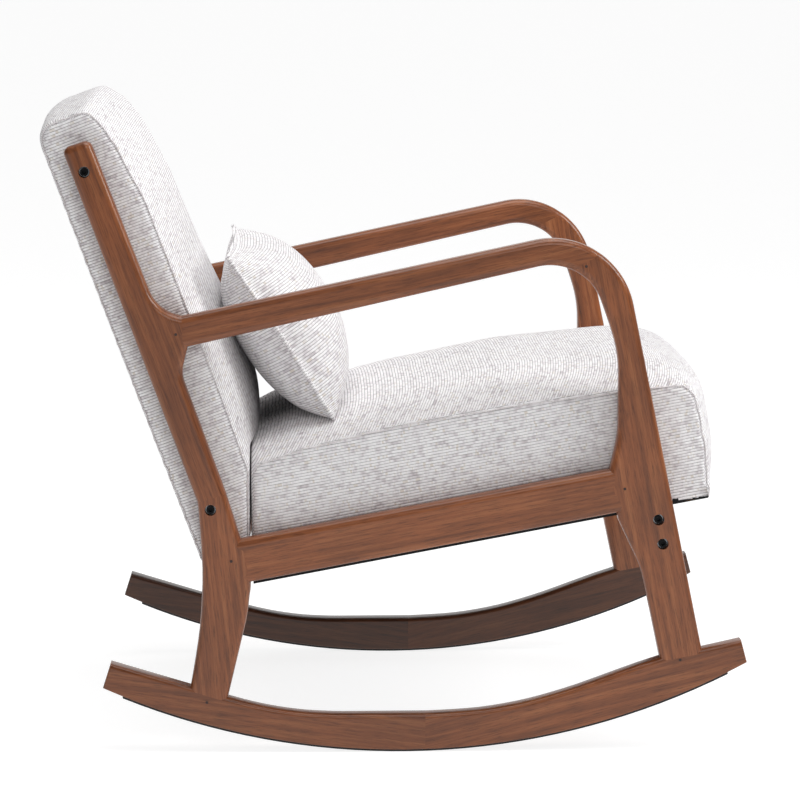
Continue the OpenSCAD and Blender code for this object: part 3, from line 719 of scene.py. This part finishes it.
def resampled(points, spacing, closed):
    """Points at an even spacing along a line of points, with its corners eased."""
    line = list(points) + ([points[0]] if closed else [])
    out = []
    for a, b in zip(line, line[1:]):
        count = max(1, round((b - a).length / spacing))
        out += [a.lerp(b, i / count) for i in range(count)]
    if not closed:
        out.append(line[-1])
    for _ in range(3):
        eased = [(out[i - 1] + out[i] * 2 + out[(i + 1) % len(out)]) / 4 for i in range(len(out))]
        out = eased if closed else [out[0]] + eased[1:-1] + [out[-1]]
    return out


def sew(piece, seam_lines):
    """Draws the cloth in along each seam line, over a few millimetres on either side."""
    reach, depth = 0.006, 0.0016
    points = [p for line in seam_lines for p in line]
    near = KDTree(len(points))
    for i, point in enumerate(points):
        near.insert(point, i)
    near.balance()
    normals = [v.normal.copy() for v in piece.data.vertices]
    for vert, normal in zip(piece.data.vertices, normals):
        spot, index, distance = near.find(vert.co)
        if distance < reach:
            vert.co -= normal * depth * (1 - smooth(0, reach, distance))
    piece.data.update()


def seam_pieces(name, lines, material):
    """The bead of folded cloth, 1.6 mm thick, that shows along each seam."""
    for number, line in enumerate(lines):
        piece = seam_cord(f"{name}_{number + 1}", line, 0.0008, False)
        piece.data.materials.append(material)
        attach(piece, "chair")


def panel_materials(piece, wrap, side_panel):
    """The wrap goes on every face but those that face more than about 45 degrees sideways."""
    piece.data.materials.clear()
    piece.data.materials.append(wrap)
    piece.data.materials.append(side_panel)
    for face in piece.data.polygons:
        face.use_smooth = True
        face.material_index = 1 if abs(face.normal.x) > 0.72 else 0


seat_slope = Slope(-0.195, 0.2151, 10.54)
seat_half = 0.2995
# No pad comes further out than this, which leaves it just inside the side frames' faces.
pad_half_limit = 0.3012
# The side view of the pad, along the seat's slope and out of it, from the lower rear corner.
seat_side_line = [(0.001, 0.0012), (0.602, 0.0012), (0.606, 0.030), (0.6085, 0.070), (0.6085, 0.116),
                  (0.606, 0.135), (0.600, 0.147), (0.589, 0.1530), (0.568, 0.1535), (0.505, 0.158),
                  (0.384, 0.165), (0.231, 0.168), (0.094, 0.161), (0.0285, 0.150)]
seat_bottom, taut_height, seat_rear_y = 0.0012, 0.014, 0.1952


def seat_crown(co):
    """The top rises and the front swells towards the middle of the seat."""
    u, w = seat_slope.read(co)
    side = abs(co.x) / seat_half
    swell = 0.023 + 0.008 * math.exp(-((u - 0.40) / 0.15) ** 2)
    rise = swell * (1 - side ** 4) * smooth(0.07, 0.155, w) * (1 - smooth(0.52, 0.67, u))
    front_height = smooth(-0.02, 0.06, w) * (1 - smooth(0.12, 0.185, w))
    push = 0.023 * (1 - side ** 3.5) * smooth(0.40, 0.60, u) * front_height
    lumps = 0.0012 * noise.noise(co * 11) * (1 - side ** 4)
    return co + seat_slope.out * (rise + lumps) + seat_slope.along * push


def seat_hold(co):
    """The pad stays between the side frames, off the dust cover and in front of the back.

    Its bottom edge is pulled taut over the seat frame, so it stays square at the sides and front.
    """
    u, w = seat_slope.read(co)
    co += seat_slope.out * (max(w, seat_bottom) - w)
    if w < taut_height and abs(co.x) > 0.288:
        co.x = math.copysign(max(abs(co.x), seat_half), co.x)
    if w < taut_height and u > 0.588:
        co += seat_slope.along * (min(max(u, 0.600), 0.606) - u)
    co.x = max(-pad_half_limit, min(pad_half_limit, co.x))
    co.y = min(co.y, seat_rear_y)
    return co


seat_pad = boxed_pad("seat_pad", seat_side_line, seat_slope, seat_half)
reshape(seat_pad, seat_crown)
puff(seat_pad, 4.0, lambda co: 0.004, seat_hold)
seat_seams = edge_seams(seat_pad, seat_slope, seat_side_line[1:], seat_half)
sew(seat_pad, seat_seams)
seat_wrap = ribbed_cloth("ribbed_chenille_seat_wrap", seat_slope.along - seat_slope.out, Vector((1, 0, 0)), 1)
seat_side_cloth = ribbed_cloth("ribbed_chenille_seat_sides", seat_slope.out, seat_slope.along, 2)
panel_materials(seat_pad, seat_wrap, seat_side_cloth)
# The black cloth under the seat is turned up over the bottom edge and stapled.
seat_pad.data.materials.append(dust_cloth)
for face in seat_pad.data.polygons:
    spots = [seat_slope.read(seat_pad.data.vertices[i].co) for i in face.vertices]
    turned_up = 0.005 if spots[0][0] > 0.56 else 0.0085
    if max(w for u, w in spots) < turned_up:
        face.material_index = 2
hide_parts("seat_cover", "seat_foam")
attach(seat_pad, "chair")
seam_cloth = speckled("folded_chenille_seam", "#c3bcbe", "#ece9e9", 500, 0.5, Roughness=0.95)
seam_pieces("seat_seam", seat_seams, seam_cloth)

# ---- Back ----
# A boxed pad over a webbed frame, sewn like the seat. The wrap runs up the front, over the top
# and down the rear. The lower front is cut upright, where it meets the seat.

back_slope = Slope(-0.258, 0.2371, 20.4)
back_half = 0.2995
back_top, top_rise, back_front_y = 0.602, 0.013, 0.1968
# The side view of the pad, forward of the rear plane and up along it, from the lower rear corner.
back_side_line = [(0.001, 0.001), (0.0655, 0.002), (0.100, 0.095), (0.102, 0.189), (0.101, 0.471),
                  (0.095, 0.512), (0.092, 0.544), (0.082, 0.583), (0.070, back_top), (0.018, back_top),
                  (0.005, 0.594), (0.001, 0.580)]


def back_crown(co):
    """The front crowns forward, most at the small of the back, and the top rises in the middle."""
    t, v = back_slope.read(co)
    side = abs(co.x) / back_half
    shape = 0.019 + 0.015 * math.exp(-((v - 0.225) / 0.11) ** 2)
    fade = 1 - 0.6 * smooth(0.50, 0.64, v)
    push = shape * (1 - side ** 2.4) * smooth(0.02, 0.095, t) * smooth(0.03, 0.17, v) * fade
    rise = top_rise * (1 - side ** 2.2) * smooth(0.46, 0.61, v)
    lumps = 0.0012 * noise.noise(co * 10 + Vector((5, 0, 0))) * (1 - side ** 4)
    return co + back_slope.along * (push + lumps) + back_slope.out * rise


def back_hold(co):
    """The pad stays between the side frames, behind the seat, and flat at the rear."""
    t, v = back_slope.read(co)
    co += back_slope.along * (max(t, 0.0) - t)
    co.x = max(-pad_half_limit, min(pad_half_limit, co.x))
    if co.z < 0.39:
        co.y = max(co.y, back_front_y)
    co.z = min(co.z, cad_box[1][2] + 0.006)
    return co


back_pad = boxed_pad("back_pad", back_side_line, back_slope, back_half)
reshape(back_pad, back_crown)
puff(back_pad, 4.0, lambda co: 0.004, back_hold)
back_seams = edge_seams(back_pad, back_slope, back_side_line[1:] + back_side_line[:1], back_half)
sew(back_pad, back_seams)
# How much cloth lies below each point: up the front, over the top and down the rear.
back_run = back_pad.data.attributes.new("cloth_run", "FLOAT", "POINT")
for vert in back_pad.data.vertices:
    t, v = back_slope.read(vert.co)
    top_v = back_top + top_rise * (1 - min(1.0, abs(vert.co.x) / back_half) ** 2.2)
    back_run.data[vert.index].value = v - t + 2 * (top_v - v) * (1 - smooth(0.012, 0.05, t))
back_wrap = ribbed_cloth("ribbed_chenille_back_wrap", back_slope.out, Vector((1, 0, 0)), 3, "cloth_run")
back_side_cloth = ribbed_cloth("ribbed_chenille_back_sides", back_slope.out, back_slope.along, 4)
panel_materials(back_pad, back_wrap, back_side_cloth)
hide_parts("back_cover", "back_foam")
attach(back_pad, "chair")
seam_pieces("back_seam", back_seams, seam_cloth)

# ---- Lumbar pillow ----
# Two rectangles of the same cloth, sewn round with a flat flange about 7 mm wide and stuffed with
# fibre. Stuffing pulls the sides in, so the corners stand out as ears.

pillow_slope = Slope(-0.153, 0.525, 31.9)
pillow_half_wide, pillow_half_high = 0.2495, 0.1345
flange = 0.007
front_bulge, rear_bulge = 0.064, -0.056


def pillow_shape(s, t, bulge):
    """A point of one face of the pillow, from its place on the flat cut, -1 to 1 each way.

    The body bulges inside the flange, the cloth puckers beside the seam, and the ears lean back.
    """
    x = s * (pillow_half_wide - 0.010 * (1 - t * t))
    v = t * (pillow_half_high - 0.009 * (1 - s * s))
    blunt = 0.009 * (abs(s) * abs(t)) ** 8
    x -= math.copysign(blunt, s)
    v -= math.copysign(blunt, t)
    s_in = min(1.0, abs(s) * pillow_half_wide / (pillow_half_wide - flange))
    t_in = min(1.0, abs(t) * pillow_half_high / (pillow_half_high - flange))
    body = (1 - s_in ** 3.4) ** 0.55 * (1 - t_in ** 2.4) ** 0.66
    from_side, from_end = (1 - s_in) * pillow_half_wide, (1 - t_in) * pillow_half_high
    edge = min(from_side, from_end)
    tuck = math.exp(-edge / 0.022) * smooth(0.0, 0.004, edge)
    round_edge = s * pillow_half_wide if from_side > from_end else t * pillow_half_high
    pucker = 0.0016 * tuck * noise.noise(Vector((round_edge * 55, 3.0 * (bulge > 0), 1.7)))
    out = bulge * body + math.copysign(0.0014 if max(s_in, t_in) >= 1 else 0.0019, bulge) + pucker
    if max(abs(s), abs(t)) > 0.9995:
        out = math.copysign(0.0005, bulge)
    ears = -0.004 * smooth(0.0, 1.0, t) * abs(s) ** 3
    return pillow_slope.place(out + ears, v, x)


def pillow_face(bulge):
    """One face of the pillow. Each point keeps how much cloth lies between it and the middle."""
    bm = bmesh.new()
    bmesh.ops.create_grid(bm, x_segments=124, y_segments=76, size=1.0)
    cloth_run = bm.verts.layers.float.new("cloth_run")
    step_count = 60
    steps = [pillow_shape(0.0, i / step_count, bulge) for i in range(step_count + 1)]
    lengths = [0.0]
    for a, b in zip(steps, steps[1:]):
        lengths.append(lengths[-1] + (b - a).length)
    for vert in bm.verts:
        s, t = vert.co.x, vert.co.y
        step = min(step_count - 1, int(abs(t) * step_count))
        part = abs(t) * step_count - step
        vert[cloth_run] = math.copysign(lengths[step] + (lengths[step + 1] - lengths[step]) * part, t)
        vert.co = pillow_shape(s, t, bulge)
    return bm


front_bm, rear_bm = pillow_face(front_bulge), pillow_face(rear_bulge)
rear_mesh = bpy.data.meshes.new("pillow_rear")
rear_bm.to_mesh(rear_mesh)
rear_bm.free()
front_bm.from_mesh(rear_mesh)
bmesh.ops.bridge_loops(front_bm, edges=[e for e in front_bm.edges if e.is_boundary])
bmesh.ops.recalc_face_normals(front_bm, faces=front_bm.faces)
pillow = new_object("lumbar_pillow", front_bm)


def pillow_cap(co):
    """The stuffing swells the middle and leaves the sewn flange flat."""
    v = (co - pillow_slope.origin).dot(pillow_slope.out)
    edge = min(pillow_half_wide - flange - abs(co.x), pillow_half_high - flange - abs(v))
    return 0.0001 + 0.005 * smooth(0.0, 0.04, edge)


puff(pillow, 3.0, pillow_cap, lambda co: co)
pillow_cloth = ribbed_cloth("ribbed_chenille_pillow", pillow_slope.out, Vector((1, 0, 0)), 5, "cloth_run")
welt_cloth = ribbed_cloth("ribbed_chenille_welt", pillow_slope.out, Vector((1, 0, 0)), 6)
pillow.data.materials.append(pillow_cloth)
for face in pillow.data.polygons:
    face.use_smooth = True
# The welt runs once round the rim, from corner to corner of the flat cut.
corners = [Vector(corner) for corner in ((-1, -1), (1, -1), (1, 1), (-1, 1))]
rim = []
for corner, following, side_steps in zip(corners, corners[1:] + corners[:1], (60, 36, 60, 36)):
    for i in range(side_steps):
        s, t = corner.lerp(following, i / side_steps)
        rim.append(pillow_shape(s, t, front_bulge))
welt = seam_cord("pillow_welt", resampled(rim, 0.005, True), 0.0026, True)
welt.data.materials.append(welt_cloth)
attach(welt, "pillow")
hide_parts("pillow_cover", "pillow_fill")
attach(pillow, "pillow")
